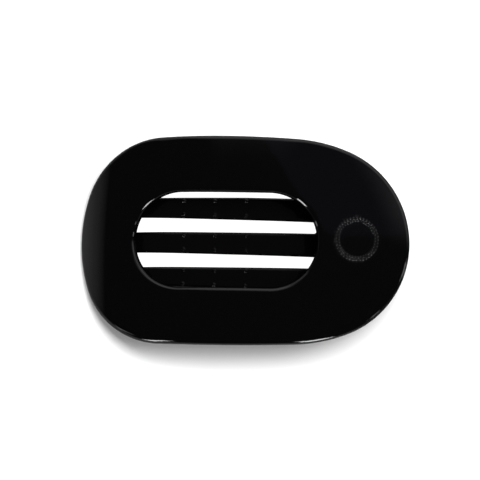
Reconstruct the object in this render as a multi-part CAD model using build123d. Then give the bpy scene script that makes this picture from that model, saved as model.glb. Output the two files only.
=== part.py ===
from build123d import *
import math
import os

# Lay-flat oval hair clip, closed and lying on a table.  Millimetres.
# +X runs along the clip from the tine tips to the thumb end, and +Z points up, out of the
# shell's front.  The origin is on the table, under the middle of the clip.

# ---- driving dimensions: front shell ----
APEX_HEIGHT = 23.4          # crest of the shell's surface above the table
SHELL_THICKNESS = 3.2
TIP_DROP = 21.0             # fall of the crest line, DROP_SPAN from the apex, at the tip end
TIP_POWER = 2.7             # the fall steepens towards the tips
THUMB_DROP = 9.5            # the same at the thumb end, which stays flatter
THUMB_POWER = 2.0
DROP_SPAN = 50.0
SURFACE_REACH = 57.0        # the surface is drawn this far each way, then trimmed to the rim
CROWN_RADIUS = 160.0        # side-to-side doming
CROWN_HALF_ANGLE = 16.0
FRONT_ROUND = 1.5           # round-over on the front edges
BACK_ROUND = 1.0            # round-over on the back edges

# ---- driving dimensions: the shell's outline ----
# Half of the egg-shaped rim is a chain of tangent arcs, from the tip end to the thumb end.
RIM_START_X = -50.6
RIM_ARCS = [                # radius, degrees turned
    (47.5, 18.1),           # blunt tip end
    (24.5, 69.5),           # tip shoulder
    (459.0, 5.16),          # long side
    (50.0, 18.8),           # thumb shoulder
]
WINDOW_CENTRE_X = -6.1
WINDOW_LENGTH = 56.4
WINDOW_WIDTH = 29.2

# ---- driving dimensions: thumb medallion ----
MEDALLION_X = 33.7
MEDALLION_Y = 0.9
MEDALLION_RADIUS = 6.95
MEDALLION_DEPTH = 0.8
RECESS_GAP = 0.05
BEADS_PER_ROW = 40
BEAD_ROWS = [               # row radius, bead radius, angle of the first bead in pitches
    (6.35, 0.37, 0.0),
    (5.55, 0.31, 0.5),
]
BEAD_HEIGHT = 0.25          # above the surface
BEAD_ROOT = 0.5             # below it
BEAD_DOME = 0.75            # share of a bead's radius that is rounded over at its top

# ---- driving dimensions: rear jaw ----
JAW_THICKNESS = 2.6
JAW_LINE = [                # the jaw's upper surface, drawn past both its ends, X and Z
    (-46.0, 2.7),
    (-42.0, 5.0),
    (-34.0, 8.5),
    (-8.0, 10.2),
    (19.3, 8.3),
    (27.5, 6.7),
    (48.0, 1.6),
]
TINE_TIP_X = -41.5
LEVER_END_X = 45.0
JAW_HALF_WIDTH = 14.1
TIP_HALF_WIDTH = 13.3
HUB_END_X = 33.0
LEVER_HALF_WIDTH = 9.5
LEVER_CORNER = 6.5
HUB_CORNER = 12.0
SLOT_CENTRE_Y = 5.33
SLOT_ROOT_X = 21.7
SLOT_END_X = -45.0          # beyond the tips, so that the slots are open
SLOT_ROOT_WIDTH = 3.48
SLOT_END_WIDTH = 4.68
SLOT_CORNER = 0.7
TINE_TIP_CORNER = 1.8
JAW_ROUND = 0.9
NUB_X = [-18.7, -9.2, 0.3]  # small grip nubs along both edges of each tine
NUB_RADIUS = 0.6
NUB_HEIGHT = 0.35           # above the tine
NUB_ROOT = 0.8              # below its surface
NUB_DOME = 0.85             # share of a nub's radius that is rounded over at its top
NUB_MARGIN = 1.15           # from a nub's middle to the tine's edge

# ---- driving dimensions: hinge ----
PIN_X = 27.5
PIN_Z = 10.8
PIN_RADIUS = 1.0
PIN_LENGTH = 25.8
PIN_END_ROUND = 0.35
RUNNING_CLEARANCE = 0.06
BOSS_RADIUS = 3.0
JAW_EAR_Y = 8.0             # middle plane of each ear
SHELL_LUG_Y = 11.4
EAR_THICKNESS = 2.6
LUG_BASE_X = (24.2, 34.5)
EAR_BASE = [(23.8, 6.2), (33.5, 3.6)]    # in the middle of the jaw's plate, X and Z

# ---- driving dimensions: interlocking teeth and spring ----
TOOTH_BASE_X = (-43.0, -38.6)
TOOTH_END = (-40.9, 1.9)
TOOTH_END_RADIUS = 0.95
TOOTH_WIDTH = 2.4
WIRE_RADIUS = 0.5
COIL_RADIUS = 2.3           # to the middle of the wire
COIL_PITCH = 1.15
COIL_FULL_TURNS = 6
SHELL_LEG_ANGLE = 6.0       # above the +X direction
LEVER_LEG_ANGLE = -18.5
LEG_LENGTH = 10.0

FAR = 60.0                  # longer than the clip, for cutting solids


def crest_height(x):
    """Height of the shell's surface along its middle line."""
    if x < 0:
        return APEX_HEIGHT - TIP_DROP * (-x / DROP_SPAN) ** TIP_POWER
    return APEX_HEIGHT - THUMB_DROP * (x / DROP_SPAN) ** THUMB_POWER


def surface_height(x, y):
    """Height of the domed surface anywhere in plan."""
    turn_radius = CROWN_RADIUS + crest_height(x) - APEX_HEIGHT
    return APEX_HEIGHT - CROWN_RADIUS + math.sqrt(turn_radius**2 - y**2)


def domed_surface():
    """The crest line turned about a long axis below the table."""
    steps = 12
    points = []
    for i in range(steps + 1):
        x = SURFACE_REACH * (2 * i / steps - 1)
        points.append(Vector(x, 0, crest_height(x)))
    crest = Spline(*points).edge()
    crown_axis = Axis((0, 0, APEX_HEIGHT - CROWN_RADIUS), (1, 0, 0))
    side = crest.rotate(crown_axis, -CROWN_HALF_ANGLE)
    return Face.revolve(side, 2 * CROWN_HALF_ANGLE, crown_axis)


def layer(surface, plan, depth):
    """The part of a surface inside a plan shape, thickened downwards."""
    prism = Pos(0, 0, -FAR) * extrude(plan, 2 * FAR)
    sheet = (surface & prism).faces()[0]
    return Solid.thicken(sheet, -depth, normal_override=(0, 0, 1))


def rim_plan():
    """The egg-shaped outline; its last arc closes it squarely on the middle line."""
    arcs = []
    start = Vector(RIM_START_X, 0)
    heading = Vector(0, 1)
    angle_left = 180.0
    for radius, turn in RIM_ARCS:
        arcs.append(JernArc(start=start, tangent=heading, radius=radius, arc_size=-turn))
        start = arcs[-1] @ 1
        heading = arcs[-1] % 1
        angle_left -= turn
    end_radius = start.Y / math.sin(math.radians(angle_left))
    arcs.append(JernArc(start=start, tangent=heading, radius=end_radius, arc_size=-angle_left))
    half = Curve() + arcs
    return make_face(half + mirror(half, about=Plane.XZ))


def skin_faces(solid):
    """The two largest faces of a plate, upper one first."""
    largest = solid.faces().sort_by(SortBy.AREA)[-2:]
    return sorted(largest, key=lambda face: -face.center().Z)


def rounded_plate(plate, front_round, back_round):
    """A plate with all its front edges rounded, then all its back edges."""
    plate = plate.fillet(front_round, skin_faces(plate)[0].edges())
    return plate.fillet(back_round, skin_faces(plate)[1].edges())


def web(base, end_centre, end_radius, middle_y, thickness):
    """A plate across Y: the hull of a base line and a round end, both given in X and Z."""
    base_line = Line((base[0][0], base[0][1]), (base[1][0], base[1][1]))
    round_end = Pos(end_centre[0], end_centre[1]) * Circle(end_radius)
    outline = make_hull([base_line.edge()] + list(round_end.edges()))
    plane = Plane(origin=(0, middle_y + thickness / 2, 0), x_dir=(1, 0, 0), z_dir=(0, -1, 0))
    return extrude(plane * outline, thickness)


def cross_cylinder(x, z, radius, length):
    """A cylinder along Y, centred on the clip's middle plane."""
    return Pos(x, 0, z) * Rot(90, 0, 0) * Cylinder(radius, length)


def domed_peg(radius, height, root, dome):
    """A round peg standing on the origin, its root below and its top rounded over."""
    peg = extrude(Circle(radius), height + root)
    peg = fillet(peg.edges().sort_by(Axis.Z)[-1], dome * radius)
    return Pos(0, 0, -root) * peg


def medallion_plan(radius):
    return Pos(MEDALLION_X, MEDALLION_Y) * Circle(radius)


def front_shell():
    plan = rim_plan() - Pos(WINDOW_CENTRE_X, 0) * SlotOverall(WINDOW_LENGTH, WINDOW_WIDTH)
    shell = rounded_plate(layer(domed_surface(), plan, SHELL_THICKNESS), FRONT_ROUND, BACK_ROUND)
    inside = SHELL_THICKNESS / 2    # webs start this deep in the plate
    for side in (-1, 1):
        lug_base = [(x, crest_height(x) - inside) for x in LUG_BASE_X]
        shell += web(lug_base, (PIN_X, PIN_Z), BOSS_RADIUS, side * SHELL_LUG_Y, EAR_THICKNESS)
        tooth_base = [(x, crest_height(x) - inside) for x in TOOTH_BASE_X]
        shell += web(tooth_base, TOOTH_END, TOOTH_END_RADIUS, side * SLOT_CENTRE_Y, TOOTH_WIDTH)
    recess = medallion_plan(MEDALLION_RADIUS + RECESS_GAP)
    shell -= layer(domed_surface(), recess, MEDALLION_DEPTH + RECESS_GAP)
    return shell - cross_cylinder(PIN_X, PIN_Z, PIN_RADIUS + RUNNING_CLEARANCE, FAR)


def press_medallion():
    """A thin plate flush with the shell, ringed by two staggered rows of beads."""
    medallion = layer(domed_surface(), medallion_plan(MEDALLION_RADIUS), MEDALLION_DEPTH)
    beads = []
    for row_radius, bead_radius, offset in BEAD_ROWS:
        bead = domed_peg(bead_radius, BEAD_HEIGHT, BEAD_ROOT, BEAD_DOME)
        for i in range(BEADS_PER_ROW):
            angle = 2 * math.pi * (i + offset) / BEADS_PER_ROW
            x = MEDALLION_X + row_radius * math.cos(angle)
            y = MEDALLION_Y + row_radius * math.sin(angle)
            beads.append(Pos(x, y, surface_height(x, y)) * bead)
    return medallion.fuse(*beads)


def between(x, x_a, value_a, x_b, value_b):
    """A value that changes evenly with x, from value_a at x_a to value_b at x_b."""
    return value_a + (value_b - value_a) * (x - x_a) / (x_b - x_a)


def slot_plan(side):
    """A slot between two tines, wider towards the tips."""
    root = SLOT_ROOT_WIDTH / 2
    end = SLOT_END_WIDTH / 2
    points = [(SLOT_ROOT_X, -root), (SLOT_ROOT_X, root), (SLOT_END_X, end), (SLOT_END_X, -end)]
    slot = make_face(Polyline(*points, close=True))
    slot = fillet(slot.vertices().group_by(Axis.X)[-1], SLOT_CORNER)
    return Pos(0, side * SLOT_CENTRE_Y) * slot


def jaw_plan():
    """Three tines, the hub and the thumb lever, seen from above."""
    upper = [(TINE_TIP_X, TIP_HALF_WIDTH), (0, JAW_HALF_WIDTH), (HUB_END_X, JAW_HALF_WIDTH)]
    upper.append((LEVER_END_X, LEVER_HALF_WIDTH))
    lower = [(x, -y) for x, y in reversed(upper)]
    plan = make_face(Polyline(*upper, *lower, close=True))
    plan = fillet(plan.vertices().group_by(Axis.X)[-2], HUB_CORNER)
    plan = fillet(plan.vertices().group_by(Axis.X)[-1], LEVER_CORNER)
    for side in (-1, 1):
        plan -= slot_plan(side)
    return fillet(plan.vertices().group_by(Axis.X)[0], TINE_TIP_CORNER)


def grip_nubs(line):
    """Nubs on the side of the tines that holds the hair."""
    nub = domed_peg(NUB_RADIUS, NUB_HEIGHT, NUB_ROOT, NUB_DOME)
    nubs = []
    for x in NUB_X:
        upright = Plane(origin=(x, 0, 0), z_dir=(1, 0, 0))
        z = line.intersect(upright).vertices()[0].Z
        half_slot = between(x, SLOT_ROOT_X, SLOT_ROOT_WIDTH, SLOT_END_X, SLOT_END_WIDTH) / 2
        side_y = between(min(x, 0), 0, JAW_HALF_WIDTH, TINE_TIP_X, TIP_HALF_WIDTH)
        middle_edge = SLOT_CENTRE_Y - half_slot - NUB_MARGIN
        outer_edge = SLOT_CENTRE_Y + half_slot + NUB_MARGIN
        for y in (middle_edge, outer_edge, side_y - NUB_MARGIN):
            nubs.append(Pos(x, y, z) * nub)
            nubs.append(Pos(x, -y, z) * nub)
    return nubs


def line_below(line, depth):
    """The line that runs this deep under another one, square to it."""
    steps = 16
    points = []
    for i in range(steps + 1):
        place = i / steps
        along = line % place
        points.append(line @ place + Vector(along.Z, 0, -along.X) * depth)
    return Spline(*points).edge()


def straight_plate(line, plan, depth):
    """The part inside a plan shape of a plate that follows a line and is straight across Y."""
    lower = line_below(line, depth)
    ends = [Line(line @ 1, lower @ 1).edge(), Line(lower @ 0, line @ 0).edge()]
    profile = make_face([line, lower] + ends)
    strip = Pos(0, -FAR, 0) * extrude(profile, 2 * FAR, dir=(0, 1, 0))
    prism = Pos(0, 0, -FAR) * extrude(plan, 2 * FAR)
    return (strip & prism).solids()[0]


def rear_jaw():
    line = Spline(*[(x, 0, z) for x, z in JAW_LINE]).edge()
    jaw = rounded_plate(straight_plate(line, jaw_plan(), JAW_THICKNESS), JAW_ROUND, JAW_ROUND)
    jaw = jaw.fuse(*grip_nubs(line))
    for side in (-1, 1):
        jaw += web(EAR_BASE, (PIN_X, PIN_Z), BOSS_RADIUS, side * JAW_EAR_Y, EAR_THICKNESS)
    return jaw - cross_cylinder(PIN_X, PIN_Z, PIN_RADIUS, FAR)


def hinge_pin():
    pin = cross_cylinder(PIN_X, PIN_Z, PIN_RADIUS, PIN_LENGTH)
    return fillet(pin.edges().filter_by(GeomType.CIRCLE), PIN_END_ROUND)


def torsion_spring():
    """A close coil round the pin, with one leg on the shell and one on the lever."""
    start_angle = 90 + SHELL_LEG_ANGLE
    end_angle = 270 + LEVER_LEG_ANGLE
    turns = COIL_FULL_TURNS + (end_angle - start_angle) / 360
    height = turns * COIL_PITCH
    coil = Rot(0, 0, start_angle) * Helix(COIL_PITCH, height, COIL_RADIUS)
    coil = Pos(PIN_X, 0, PIN_Z) * Rot(90, 0, 0) * Pos(0, 0, -height / 2) * coil
    shell_leg = Line((coil @ 0) - (coil % 0) * LEG_LENGTH, coil @ 0)
    lever_leg = Line(coil @ 1, (coil @ 1) + (coil % 1) * LEG_LENGTH)
    wire = Wire([shell_leg.edge(), coil.edge(), lever_leg.edge()])
    section = Plane(origin=wire @ 0, z_dir=wire % 0) * Circle(WIRE_RADIUS)
    return sweep(section, path=wire, is_frenet=True)


NODES = {
    "front_shell": front_shell,
    "press_medallion": press_medallion,
    "rear_jaw": rear_jaw,
    "hinge_pin": hinge_pin,
    "torsion_spring": torsion_spring,
}

os.makedirs("parts", exist_ok=True)
for name, build in NODES.items():
    export_step(build(), f"parts/{name}.step")
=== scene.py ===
import math

import bpy
from mathutils import Matrix, Vector


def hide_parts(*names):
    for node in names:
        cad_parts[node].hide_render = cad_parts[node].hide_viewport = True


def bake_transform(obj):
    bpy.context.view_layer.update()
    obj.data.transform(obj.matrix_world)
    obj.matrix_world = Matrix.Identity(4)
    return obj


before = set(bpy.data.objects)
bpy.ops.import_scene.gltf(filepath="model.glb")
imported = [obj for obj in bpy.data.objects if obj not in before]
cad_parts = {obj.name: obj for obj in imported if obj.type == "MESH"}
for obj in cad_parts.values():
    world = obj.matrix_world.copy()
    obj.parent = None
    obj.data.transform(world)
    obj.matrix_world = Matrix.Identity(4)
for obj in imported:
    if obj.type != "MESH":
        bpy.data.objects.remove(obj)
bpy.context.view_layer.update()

MM = 0.001

# ---- the view ----
VIEW_ELEVATION = 84.3       # degrees above the table
VIEW_ROLL = 0.9             # the clip lies turned this much clockwise in the picture
VIEW_DISTANCE = 1.2
VIEW_WIDTH = 145.2 * MM     # width of the picture at the rim's mean height
VIEW_PLANE_Z = 16.1 * MM
VIEW_TARGET_X = -1.5 * MM
VIEW_TARGET_Y = 0.4 * MM
SENSOR_WIDTH = 36.0

# ---- the plastic ----
PLASTIC_INDEX = 1.49        # refractive index of the polished moulding
STEEP_VIEW = (0.90, 0.96)   # upward part of a view direction, from slanting to steep
EDGE_SOFTNESS = 0.15 * MM

# ---- the medallion's ring of beads, two staggered rows as in the CAD frame, with painted glints ----
MEDALLION_X = 33.7 * MM
MEDALLION_Y = 0.9 * MM
BEAD_RING_RADIUS = 5.2 * MM
ROW_BORDER = 5.95 * MM      # radius between the two rows
BEADS_PER_ROW = 40
BEAD_GLINT_INDEX = 2.3            # painted glints: a raised index makes the beads glint
GROOVE_SHADE_INDEX = 1.2         # and a lowered index paints the grooves between them dull, as painted shade
RING_EDGE = 0.1 * MM        # width over which the ring's index changes

# ---- the torsion spring, the same wire as in the CAD frame ----
PIN_X = 27.5 * MM
PIN_Z = 10.8 * MM
WIRE_RADIUS = 0.5 * MM
COIL_RADIUS = 2.3 * MM
COIL_PITCH = 1.15 * MM
SHELL_LEG_ANGLE = 6.0       # degrees above the +X direction
LEVER_LEG_ANGLE = -18.5
COIL_FULL_TURNS = 6
LEG_LENGTH = 10.0 * MM
RINGS_PER_TURN = 32         # rings of the wire's mesh
LEG_STEPS = 8
WIRE_SIDES = 12

# ---- the table ----
TABLE_HALF_SIZE = 3.0
TABLE_WHITE = 0.86
# painted glow: a patch of the table glows, though no lamp lights it, where it shows through the clip's
# window
WINDOW_X = -6.0 * MM        # middle of the painted glow patch that shows through the clip's window
GLOW_HALF_LENGTH = 35.0 * MM
GLOW_HALF_WIDTH = 19.5 * MM
GLOW_SOFTNESS = 2.0 * MM
PAINTED_GLOW_LEVEL = 1.15
GLOW_VIEW = (0.95, 0.985)   # the painted glow shows only to views at least this steep
FADE_START = 0.15           # beyond here the table turns softly into the white room
FADE_END = 0.60
SHADE_X = (-52 * MM, -46 * MM)      # painted shade: the polish shows the table dark under the clip
SHADE_Y = (36 * MM, 46 * MM)
PAINTED_TABLE_REFLECTION = (0.23, 1.8, 0.5)   # painted reflection of the table: level at grazing, its growth with steepness, and its limit

# ---- the room ----
ROOM_LEVEL = 1.1            # what the camera sees
SOFT_LEVEL = 0.24           # what lights the table and the clip
KEY_PLACE = (0.20, 0.25, 1.05)
KEY_SIZE = (0.90, 0.50)
KEY_POWER = 20.0
FILL_PLACE = (0.0, -0.5, 1.2)
FILL_SIZE = (1.2, 0.8)
FILL_POWER = 3.0

# ---- brightness of the room in the clip's polish ----
BASE_LEVEL = 0.028
WALL_LEVEL = 0.42
MIDDLE_WALL_LEVEL = 0.45
WINDOW_LEVEL = 15.0         # as a mirror-sharp reflection, from straight above, shows it
SIDE_WINDOW_LEVEL = 1.5     # as a slanting and slightly hazy reflection shows it
LAMP_LEVEL = 4.0
EDGE_LEVEL = 2.5
LOW_LEFT = (0.22, 1.8)      # level at the horizon, and its loss with height
VIOLET = (0.65, 0.57, 1.0, 1)
VIOLET_LEVEL = 0.050
VIOLET_SLANT = 0.84         # the violet sheen begins along a slanting line


# ---------------------------------------------------------------- node helpers

def new_material(name):
    material = bpy.data.materials.new(name)
    material.use_nodes = True
    material.node_tree.nodes.clear()
    return material, material.node_tree


def add_node(tree, kind, inputs=None, **settings):
    """A node with its settings and its inputs: a value, or an output socket to link from."""
    node = tree.nodes.new(kind)
    for key, value in settings.items():
        setattr(node, key, value)
    for key, value in (inputs or {}).items():
        if isinstance(value, bpy.types.NodeSocket):
            tree.links.new(value, node.inputs[key])
        else:
            node.inputs[key].default_value = value
    return node


def math_node(tree, operation, a, b=0.0):
    return add_node(tree, "ShaderNodeMath", {0: a, 1: b}, operation=operation).outputs[0]


def product(tree, first, *others):
    for other in others:
        first = math_node(tree, "MULTIPLY", first, other)
    return first


def map_range(tree, value, low, high, new_low, new_high):
    inputs = {"Value": value, "From Min": low, "From Max": high}
    inputs.update({"To Min": new_low, "To Max": new_high})
    return add_node(tree, "ShaderNodeMapRange", inputs, interpolation_type="SMOOTHSTEP").outputs[0]


def rise(tree, value, low, high):
    return map_range(tree, value, low, high, 0.0, 1.0)


def fall(tree, value, low, high):
    return map_range(tree, value, low, high, 1.0, 0.0)


def band(tree, value, low, high, softness):
    """One between two limits, and softly nothing outside them."""
    up = rise(tree, value, low - softness, low + softness)
    return product(tree, up, fall(tree, value, high - softness, high + softness))


def noise(tree, scale, detail=2.0, stretch=(1, 1, 1)):
    coords = add_node(tree, "ShaderNodeTexCoord").outputs["Object"]
    mapped = add_node(tree, "ShaderNodeMapping", {"Vector": coords, "Scale": stretch}).outputs[0]
    inputs = {"Vector": mapped, "Scale": scale, "Detail": detail}
    return add_node(tree, "ShaderNodeTexNoise", inputs).outputs["Fac"]


def mix_shader(tree, factor, first, second):
    return add_node(tree, "ShaderNodeMixShader", {0: factor, 1: first, 2: second}).outputs[0]


def finish_surface(tree, shader):
    output = add_node(tree, "ShaderNodeOutputMaterial")
    tree.links.new(shader, output.inputs["Surface"])


# ---------------------------------------------------------------- materials

def steepness(tree):
    """How far a view comes from straight above: one for a vertical view, nothing for a level one."""
    incoming = add_node(tree, "ShaderNodeNewGeometry").outputs["Incoming"]
    return add_node(tree, "ShaderNodeSeparateXYZ", {"Vector": incoming}).outputs["Z"]


def vector_node(tree, operation, a, b, result="Vector"):
    return add_node(tree, "ShaderNodeVectorMath", {0: a, 1: b}, operation=operation).outputs[result]


def bead_ring_index(tree):
    """Refractive index over the medallion: raised on the beads as painted glints, lowered between them as
    painted shade.
    """
    place = add_node(tree, "ShaderNodeTexCoord").outputs["Object"]
    off_middle = vector_node(tree, "SUBTRACT", place, (MEDALLION_X, MEDALLION_Y, 0.0))
    in_plan = vector_node(tree, "MULTIPLY", off_middle, (1.0, 1.0, 0.0))
    radius = vector_node(tree, "LENGTH", in_plan, (0.0, 0.0, 0.0), "Value")
    sides = add_node(tree, "ShaderNodeSeparateXYZ", {"Vector": in_plan})
    angle = math_node(tree, "ARCTAN2", sides.outputs["Y"], sides.outputs["X"])
    in_ring = rise(tree, radius, BEAD_RING_RADIUS - RING_EDGE, BEAD_RING_RADIUS)
    stagger = map_range(tree, radius, ROW_BORDER - RING_EDGE, ROW_BORDER + RING_EDGE, math.pi, 0.0)
    phase = math_node(tree, "ADD", math_node(tree, "MULTIPLY", angle, BEADS_PER_ROW), stagger)
    # painted glints: a pattern by angle raises the index at each bead's middle and lowers it between beads
    bead_glint_mask = rise(tree, math_node(tree, "COSINE", phase), 0.0, 0.9)
    ring_index = map_range(tree, product(tree, in_ring, bead_glint_mask), 0.0, 1.0, GROOVE_SHADE_INDEX, BEAD_GLINT_INDEX)
    return map_range(tree, in_ring, 0.0, 1.0, PLASTIC_INDEX, ring_index)


def black_plastic(name, grey, gloss, bead_ring=False):
    """Polished black moulding: flow waviness, handling haze, fine scuffs and softened edges.

    Seen from straight above the polish is a perfect mirror.  The beads keep their sharp edges.
    """
    material, tree = new_material(name)
    wave = noise(tree, 38.0, 1.0)
    haze = noise(tree, 160.0, 4.0)
    scuff = noise(tree, 900.0, 3.0, (1.0, 0.06, 1.0))
    roughness = map_range(tree, haze, 0.35, 0.75, gloss, gloss + 0.04)
    roughness = math_node(tree, "ADD", roughness, map_range(tree, scuff, 0.66, 0.80, 0.0, 0.05))
    roughness = product(tree, roughness, fall(tree, steepness(tree), *STEEP_VIEW))
    bump = {"Strength": 0.05, "Distance": 0.4 * MM, "Height": wave}
    index = PLASTIC_INDEX
    if bead_ring:
        index = bead_ring_index(tree)
    else:
        bump["Normal"] = add_node(tree, "ShaderNodeBevel", {"Radius": EDGE_SOFTNESS}, samples=4).outputs[0]
    shader = add_node(tree, "ShaderNodeBsdfPrincipled", {
        "Base Color": (grey, grey, 1.1 * grey, 1.0),
        "Roughness": roughness,
        "IOR": index,
        "Normal": add_node(tree, "ShaderNodeBump", bump).outputs[0],
    })
    finish_surface(tree, shader.outputs[0])
    return material


def drawn_steel(name, roughness, along):
    """Bright drawn wire: fine lines along the wire and a slight tarnish."""
    material, tree = new_material(name)
    lines = noise(tree, 2600.0, 3.0, along)
    tarnish = noise(tree, 240.0, 3.0)
    rough = math_node(tree, "ADD", map_range(tree, lines, 0.3, 0.7, -0.05, 0.07), roughness)
    bump = add_node(tree, "ShaderNodeBump", {"Strength": 0.12, "Distance": 0.02 * MM, "Height": lines})
    colour = add_node(tree, "ShaderNodeMix", {"Factor": tarnish}, data_type="RGBA")
    colour.inputs["A"].default_value = (0.60, 0.60, 0.62, 1)
    colour.inputs["B"].default_value = (0.48, 0.47, 0.46, 1)
    shader = add_node(tree, "ShaderNodeBsdfPrincipled", {
        "Base Color": colour.outputs["Result"],
        "Metallic": 1.0,
        "Roughness": rough,
        "Normal": bump.outputs[0],
    })
    finish_surface(tree, shader.outputs[0])
    return material


def dress(node, material):
    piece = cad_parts[node]
    piece.data.materials.clear()
    piece.data.materials.append(material)


spring_steel = drawn_steel("spring_steel", 0.26, (0.4, 1.0, 0.4))
dress("front_shell", black_plastic("shell_black", 0.0007, 0.03))
dress("press_medallion", black_plastic("medallion_black", 0.0008, 0.03, bead_ring=True))
dress("rear_jaw", black_plastic("jaw_black", 0.0008, 0.05))
dress("hinge_pin", drawn_steel("pin_steel", 0.22, (1.0, 0.05, 1.0)))
dress("torsion_spring", spring_steel)


# ---------------------------------------------------------------- the wound spring

def spring_path():
    """Points along the wire: the shell's leg at +Y, the coil, and the lever's leg at -Y."""
    start = math.radians(90 + SHELL_LEG_ANGLE)
    turn = 2 * math.pi * COIL_FULL_TURNS + math.radians(180 + LEVER_LEG_ANGLE - SHELL_LEG_ANGLE)
    width = COIL_PITCH * turn / (2 * math.pi)
    rings = RINGS_PER_TURN * COIL_FULL_TURNS
    coil = []
    for i in range(rings + 1):
        angle = start + turn * i / rings
        across = COIL_RADIUS * Vector((math.cos(angle), 0, math.sin(angle)))
        coil.append(Vector((PIN_X, width / 2 - width * i / rings, PIN_Z)) + across)
    shell_way = (coil[0] - coil[1]).normalized()
    lever_way = (coil[-1] - coil[-2]).normalized()
    step = LEG_LENGTH / LEG_STEPS
    shell_leg = [coil[0] + shell_way * step * (LEG_STEPS - i) for i in range(LEG_STEPS)]
    lever_leg = [coil[-1] + lever_way * step * (i + 1) for i in range(LEG_STEPS)]
    return shell_leg + coil + lever_leg


def tube(name, path, radius, sides, material):
    """A closed round tube along a path that never runs along Y."""
    mesh = bpy.data.meshes.new(name)
    vertices = []
    faces = []
    for i, point in enumerate(path):
        along = (path[min(i + 1, len(path) - 1)] - path[max(i - 1, 0)]).normalized()
        outward = along.cross(Vector((0, 1, 0))).normalized()
        side = along.cross(outward)
        for j in range(sides):
            angle = 2 * math.pi * j / sides
            vertices.append(point + radius * (math.cos(angle) * outward + math.sin(angle) * side))
            if i:
                a = (i - 1) * sides + j
                b = (i - 1) * sides + (j + 1) % sides
                faces.append((a, b, b + sides, a + sides))
    faces.append(tuple(reversed(range(sides))))
    faces.append(tuple(range(len(vertices) - sides, len(vertices))))
    mesh.from_pydata([tuple(v) for v in vertices], [], faces)
    for polygon in mesh.polygons:
        polygon.use_smooth = len(polygon.vertices) == 4
    mesh.materials.append(material)
    piece = bpy.data.objects.new(name, mesh)
    bpy.context.scene.collection.objects.link(piece)
    return piece


path = spring_path()
spring = tube("wound_spring", path, WIRE_RADIUS, WIRE_SIDES, spring_steel)
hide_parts("torsion_spring")
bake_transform(spring)


# ---------------------------------------------------------------- table, lights and camera

def emission(tree, strength):
    return add_node(tree, "ShaderNodeEmission", {"Color": (1, 1, 1, 1), "Strength": strength}).outputs[0]


def background(tree, strength, colour=(1, 1, 1, 1)):
    return add_node(tree, "ShaderNodeBackground", {"Color": colour, "Strength": strength}).outputs[0]


def table_white():
    """White for the eye, with a painted glow below the window, and a painted reflection in the polish,
    dark under the clip.
    """
    material, tree = new_material("table_white")
    bump = {"Strength": 0.05, "Distance": 0.1 * MM, "Height": noise(tree, 400.0, 4.0)}
    white = {"Color": (TABLE_WHITE, TABLE_WHITE, TABLE_WHITE, 1)}
    white["Normal"] = add_node(tree, "ShaderNodeBump", bump).outputs[0]
    white = add_node(tree, "ShaderNodeBsdfDiffuse", white).outputs[0]
    ray = add_node(tree, "ShaderNodeLightPath")
    to_camera = ray.outputs["Is Camera Ray"]
    steep = steepness(tree)
    place = add_node(tree, "ShaderNodeTexCoord").outputs["Object"]
    xyz = add_node(tree, "ShaderNodeSeparateXYZ", {"Vector": place})
    from_middle = math_node(tree, "ABSOLUTE", math_node(tree, "SUBTRACT", xyz.outputs["X"], WINDOW_X))
    from_side = math_node(tree, "ABSOLUTE", xyz.outputs["Y"])
    along = fall(tree, from_middle, GLOW_HALF_LENGTH - GLOW_SOFTNESS, GLOW_HALF_LENGTH)
    across = fall(tree, from_side, GLOW_HALF_WIDTH - GLOW_SOFTNESS, GLOW_HALF_WIDTH)
    # painted glow: steep camera views see the table below the window glow, though no lamp lights it
    seen = product(tree, along, across, rise(tree, steep, *GLOW_VIEW), to_camera)
    top = mix_shader(tree, seen, white, emission(tree, PAINTED_GLOW_LEVEL))
    distance = vector_node(tree, "LENGTH", place, (0.0, 0.0, 0.0), "Value")
    far_off = product(tree, rise(tree, distance, FADE_START, FADE_END), to_camera)
    top = mix_shader(tree, far_off, top, emission(tree, ROOM_LEVEL))
    # painted reflection: glossy rays see the table as a glow that grows with steepness, with painted shade
    # under the clip
    painted_shade_under_clip = product(tree, rise(tree, xyz.outputs["X"], *SHADE_X), fall(tree, from_side, *SHADE_Y))
    grazing, growth, limit = PAINTED_TABLE_REFLECTION
    level = math_node(tree, "ADD", math_node(tree, "MULTIPLY", steep, growth), grazing)
    level = math_node(tree, "MINIMUM", level, limit)
    level = product(tree, level, math_node(tree, "SUBTRACT", 1.0, painted_shade_under_clip))
    finish_surface(tree, mix_shader(tree, ray.outputs["Is Glossy Ray"], top, emission(tree, level)))
    return material


def table_top():
    mesh = bpy.data.meshes.new("table")
    size = TABLE_HALF_SIZE
    corners = [(-size, -size, 0), (size, -size, 0), (size, size, 0), (-size, size, 0)]
    mesh.from_pydata(corners, [], [(0, 1, 2, 3)])
    mesh.materials.append(table_white())
    table = bpy.data.objects.new("table", mesh)
    bpy.context.scene.collection.objects.link(table)


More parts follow.
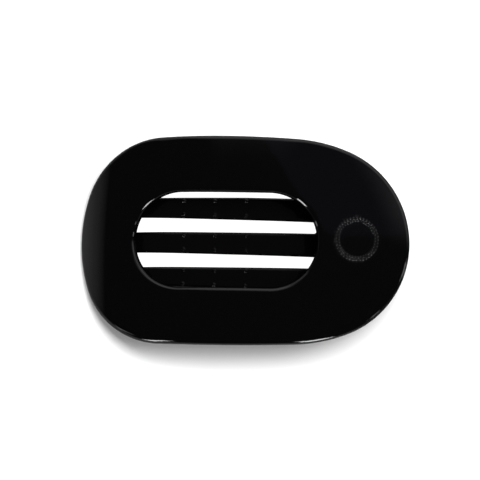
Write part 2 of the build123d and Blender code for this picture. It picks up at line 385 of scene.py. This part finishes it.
def mirrored_room(tree):
    """What the clip's polish shows of the room: a dark ceiling between dim walls and bright windows.

    x, y and z are the direction that a reflection looks in: +Y away from the camera, +Z up.
    sideways is the direction's slope to the right of straight away, or of straight towards.
    """
    direction = add_node(tree, "ShaderNodeTexCoord").outputs["Generated"]
    xyz = add_node(tree, "ShaderNodeSeparateXYZ", {"Vector": direction})
    x, y, z = (xyz.outputs[axis] for axis in "XYZ")
    sideways = math_node(tree, "DIVIDE", x, math_node(tree, "ABSOLUTE", y))
    sharp = add_node(tree, "ShaderNodeLightPath").outputs["Is Singular Ray"]

    def wall(where, top_start, top_end, level):
        return product(tree, *where, fall(tree, z, top_start, top_end), level)

    def opening(low, high, left, right, softness, level):
        """A bright opening on the near side, between two heights and two sideways slopes."""
        height = band(tree, z, low, high, 0.04)
        width = band(tree, sideways, left, right, softness)
        return product(tree, fall(tree, y, -0.25, -0.20), height, width, level)

    middle = (rise(tree, y, 0.15, 0.50), band(tree, sideways, -0.30, 0.40, 0.15))
    beside = (rise(tree, y, 0.02, 0.25), rise(tree, sideways, -1.0, -0.75))
    right = (rise(tree, x, 0.25, 0.40), rise(tree, y, 0.06, 0.25))
    horizon_level, loss = LOW_LEFT
    dimming = math_node(tree, "SUBTRACT", horizon_level, math_node(tree, "MULTIPLY", z, loss))
    thumb_side = (rise(tree, x, 0.75, 0.80), band(tree, y, -0.16, -0.03, 0.02))
    window = map_range(tree, sharp, 0.0, 1.0, SIDE_WINDOW_LEVEL, WINDOW_LEVEL)
    lamp = product(tree, sharp, LAMP_LEVEL)
    parts = [
        wall(middle, 0.62, 0.93, MIDDLE_WALL_LEVEL),
        wall(beside, 0.46, 0.60, WALL_LEVEL),
        wall(right, 0.66, 0.80, WALL_LEVEL),
        wall([fall(tree, x, -0.90, -0.80)], 0.110, 0.125, dimming),
        wall(thumb_side, 0.45, 0.50, EDGE_LEVEL),
        opening(0.10, 0.55, -1.02, -0.62, 0.04, window),
        opening(0.10, 0.55, 0.29, 0.56, 0.03, window),
        opening(0.10, 0.40, -4.0, -2.8, 0.1, lamp),
        opening(0.38, 0.55, 1.55, 1.95, 0.1, lamp),
    ]
    level = BASE_LEVEL
    for part in parts:
        level = math_node(tree, "ADD", part, level)
    slant = math_node(tree, "ADD", x, math_node(tree, "MULTIPLY", y, VIOLET_SLANT))
    sheen = product(tree, rise(tree, slant, 0.47, 0.51), rise(tree, y, 0.10, 0.15), VIOLET_LEVEL)
    both = {0: background(tree, level), 1: background(tree, sheen, VIOLET)}
    return add_node(tree, "ShaderNodeAddShader", both).outputs[0]


def room():
    """A white room to the eye, and a dark one with windows in the clip's polish."""
    world = bpy.data.worlds.new("room")
    bpy.context.scene.world = world
    world.use_nodes = True
    tree = world.node_tree
    tree.nodes.clear()
    ray = add_node(tree, "ShaderNodeLightPath")
    to_camera = ray.outputs["Is Camera Ray"]
    seen = mix_shader(tree, to_camera, background(tree, SOFT_LEVEL), background(tree, ROOM_LEVEL))
    final = mix_shader(tree, ray.outputs["Is Glossy Ray"], seen, mirrored_room(tree))
    output = add_node(tree, "ShaderNodeOutputWorld")
    tree.links.new(final, output.inputs["Surface"])


def area_light(name, location, size, power):
    """A soft box aimed at the clip; its own image doesn't show in the polish."""
    light = bpy.data.lights.new(name, "AREA")
    light.shape = "RECTANGLE"
    light.size, light.size_y = size
    light.energy = power
    box = bpy.data.objects.new(name, light)
    box.location = location
    box.rotation_euler = (-Vector(location)).to_track_quat("-Z", "Y").to_euler()
    box.visible_glossy = False
    bpy.context.scene.collection.objects.link(box)


def camera():
    data = bpy.data.cameras.new("camera")
    data.sensor_width = SENSOR_WIDTH
    data.lens = SENSOR_WIDTH * VIEW_DISTANCE / VIEW_WIDTH
    data.clip_start = 0.05
    data.clip_end = 20.0
    eye = bpy.data.objects.new("camera", data)
    tilt = math.radians(VIEW_ELEVATION)
    target = Vector((VIEW_TARGET_X, VIEW_TARGET_Y, VIEW_PLANE_Z))
    away = Vector((0, -math.cos(tilt), math.sin(tilt)))
    turn = Matrix.Rotation(math.radians(VIEW_ROLL), 3, away)
    eye.location = target + VIEW_DISTANCE * away
    upright = (-away).to_track_quat("-Z", "Y").to_matrix()
    eye.rotation_euler = (turn @ upright).to_euler()
    bpy.context.scene.collection.objects.link(eye)
    bpy.context.scene.camera = eye


table_top()
room()
area_light("key", KEY_PLACE, KEY_SIZE, KEY_POWER)
area_light("fill", FILL_PLACE, FILL_SIZE, FILL_POWER)
camera()

scene = bpy.context.scene
scene.view_settings.view_transform = "Standard"
scene.view_settings.look = "None"
